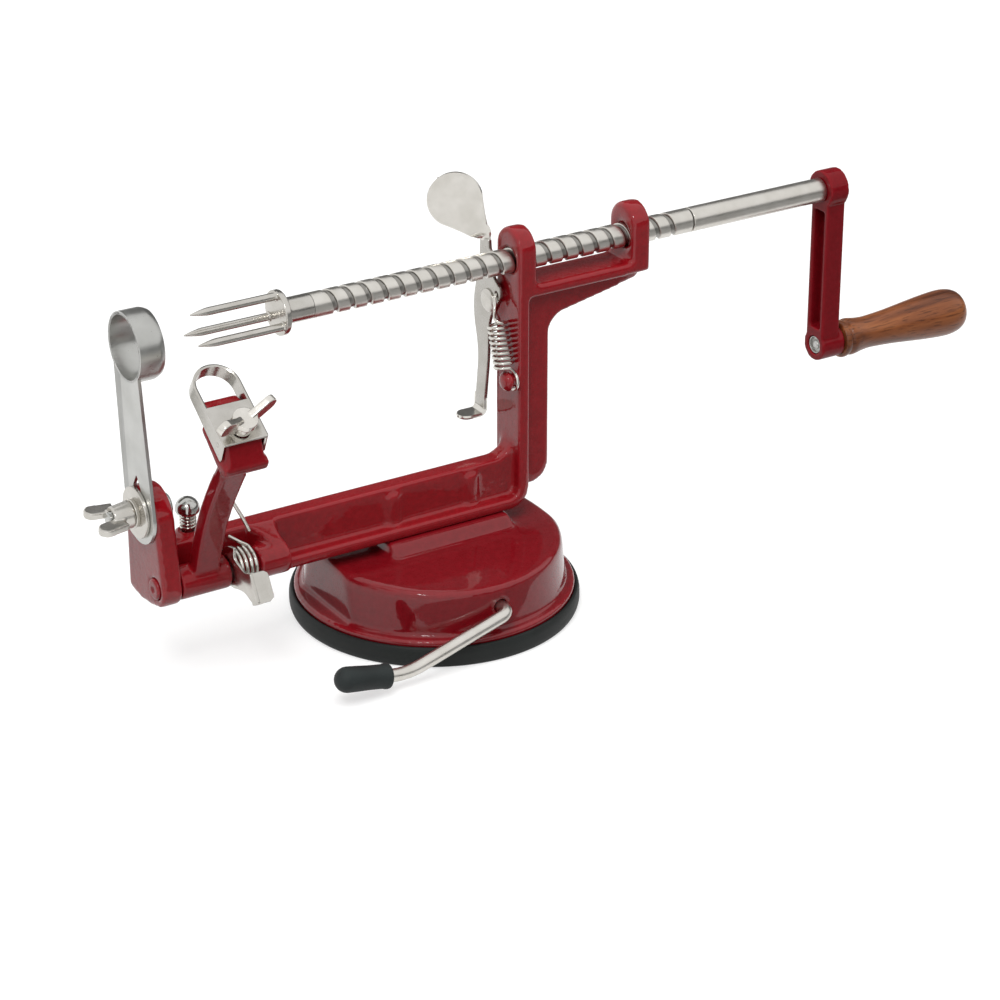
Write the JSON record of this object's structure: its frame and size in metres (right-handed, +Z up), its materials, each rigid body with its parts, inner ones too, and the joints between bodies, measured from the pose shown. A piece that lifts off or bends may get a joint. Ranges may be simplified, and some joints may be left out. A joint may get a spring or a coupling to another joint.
{
  "type": "apple peeler",
  "caption": "Hand-cranked apple peeler, corer and slicer: a cast frame on a suction base holds a threaded feed shaft, a sprung peeling arm and a slicing blade with a coring ring.",
  "frame": {"origin": "centre of the suction pad's underside, on the table", "axes": "+X along the feed shaft towards the crank, +Z up, the suction lever lies on the -Y side"},
  "size_m": [0.3945, 0.1145, 0.1624],
  "materials": {
    "red_enamel": "glossy enamel on a casting",
    "nickel_plate": "bright nickel plate",
    "plain_steel": "satin",
    "black_rubber": "matt",
    "stained_wood": "stained and varnished"
  },
  "bodies": {
    "frame": {"frame_casting": "red_enamel", "base_housing": "red_enamel", "frame_screws": "plain_steel", "suction_pad": "black_rubber", "release_rivet": "nickel_plate", "release_spring": "nickel_plate", "arm_rod": "red_enamel", "arm_spring": "nickel_plate", "stop_screw": "plain_steel", "stop_spring": "nickel_plate", "blade_bolt": "plain_steel", "flat_washer": "nickel_plate", "lock_washer": "nickel_plate"},
    "stirrup": {"lift_stirrup": "plain_steel"},
    "suction_lever": {"lever_rod": "nickel_plate", "lift_cam": "plain_steel", "lever_cap": "black_rubber"},
    "feed_carriage": {"spacer_sleeve": "nickel_plate"},
    "feed_screw": {"feed_shaft": "nickel_plate", "apple_fork": "nickel_plate", "crank_arm": "red_enamel"},
    "grip": {"handle_grip": "stained_wood", "handle_bolt": "plain_steel"},
    "release_lever": {"release_lever": "nickel_plate"},
    "peeling_arm": {"peeling_arm": "red_enamel", "peel_blade": "nickel_plate"},
    "wing_screw": {"wing_screw": "nickel_plate"},
    "arm_latch": {"arm_latch": "nickel_plate"},
    "wing_nut": {"wing_nut": "nickel_plate"},
    "slicer": {"slicing_blade": "plain_steel"}
  },
  "joints": [
    {"name": "suction_lever_turn", "type": "hinge", "parent": "frame", "child": "suction_lever", "pos_m": [0, -0.0541, 0.0185], "axis": [0, 1, 0], "range_deg": [0, 170]},
    {"name": "stirrup_lift", "type": "slide", "parent": "frame", "child": "stirrup", "axis": [0, 0, 1], "range_m": [0, 0.00209]},
    {"name": "feed_slide", "type": "slide", "parent": "frame", "child": "feed_carriage", "axis": [1, 0, 0], "range_m": [-0.0561, 0.0701]},
    {"name": "crank_spin", "type": "hinge", "parent": "feed_carriage", "child": "feed_screw", "pos_m": [0.12, 0, 0.1326], "axis": [1, 0, 0], "range_deg": [-2880, 3600]},
    {"name": "grip_spin", "type": "hinge", "parent": "feed_screw", "child": "grip", "pos_m": [0.19, 0, 0.0666], "axis": [1, 0, 0], "continuous": true},
    {"name": "release_lever_press", "type": "hinge", "parent": "frame", "child": "release_lever", "pos_m": [0.03085, 0.009, 0.1143], "axis": [1, 0, 0], "range_deg": [-12, 0], "stiffness_Nm_per_rad": 0.12, "springref_deg": 22.92, "deforming": ["release_spring"]},
    {"name": "arm_swing", "type": "hinge", "parent": "frame", "child": "peeling_arm", "pos_m": [-0.1053, -0.012, 0.043], "axis": [1, 0, 0], "range_deg": [-8, 40], "stiffness_Nm_per_rad": 1, "springref_deg": -1.26, "deforming": ["arm_spring"]},
    {"name": "wing_screw_turn", "type": "hinge", "parent": "peeling_arm", "child": "wing_screw", "pos_m": [-0.1042, -0.04736, 0.1146], "axis": [0, -0.5592, 0.829], "continuous": true},
    {"name": "latch_swing", "type": "hinge", "parent": "frame", "child": "arm_latch", "pos_m": [-0.095, -0.012, 0.043], "axis": [1, 0, 0], "range_deg": [-20, 20]},
    {"name": "wing_nut_turn", "type": "hinge", "parent": "frame", "child": "wing_nut", "pos_m": [-0.13, -0.0045, 0.071], "axis": [1, 0, 0], "continuous": true},
    {"name": "slicer_adjust", "type": "slide", "parent": "frame", "child": "slicer", "axis": [0, 0, 1], "range_m": [-0.003, 0.003]}
  ],
  "couplings": [
    {"joint": "feed_slide", "follows": "crank_spin", "m_per_rad": 0.0011141},
    {"joint": "stirrup_lift", "follows": "suction_lever_turn", "m_per_rad": 0.00070103}
  ]
}
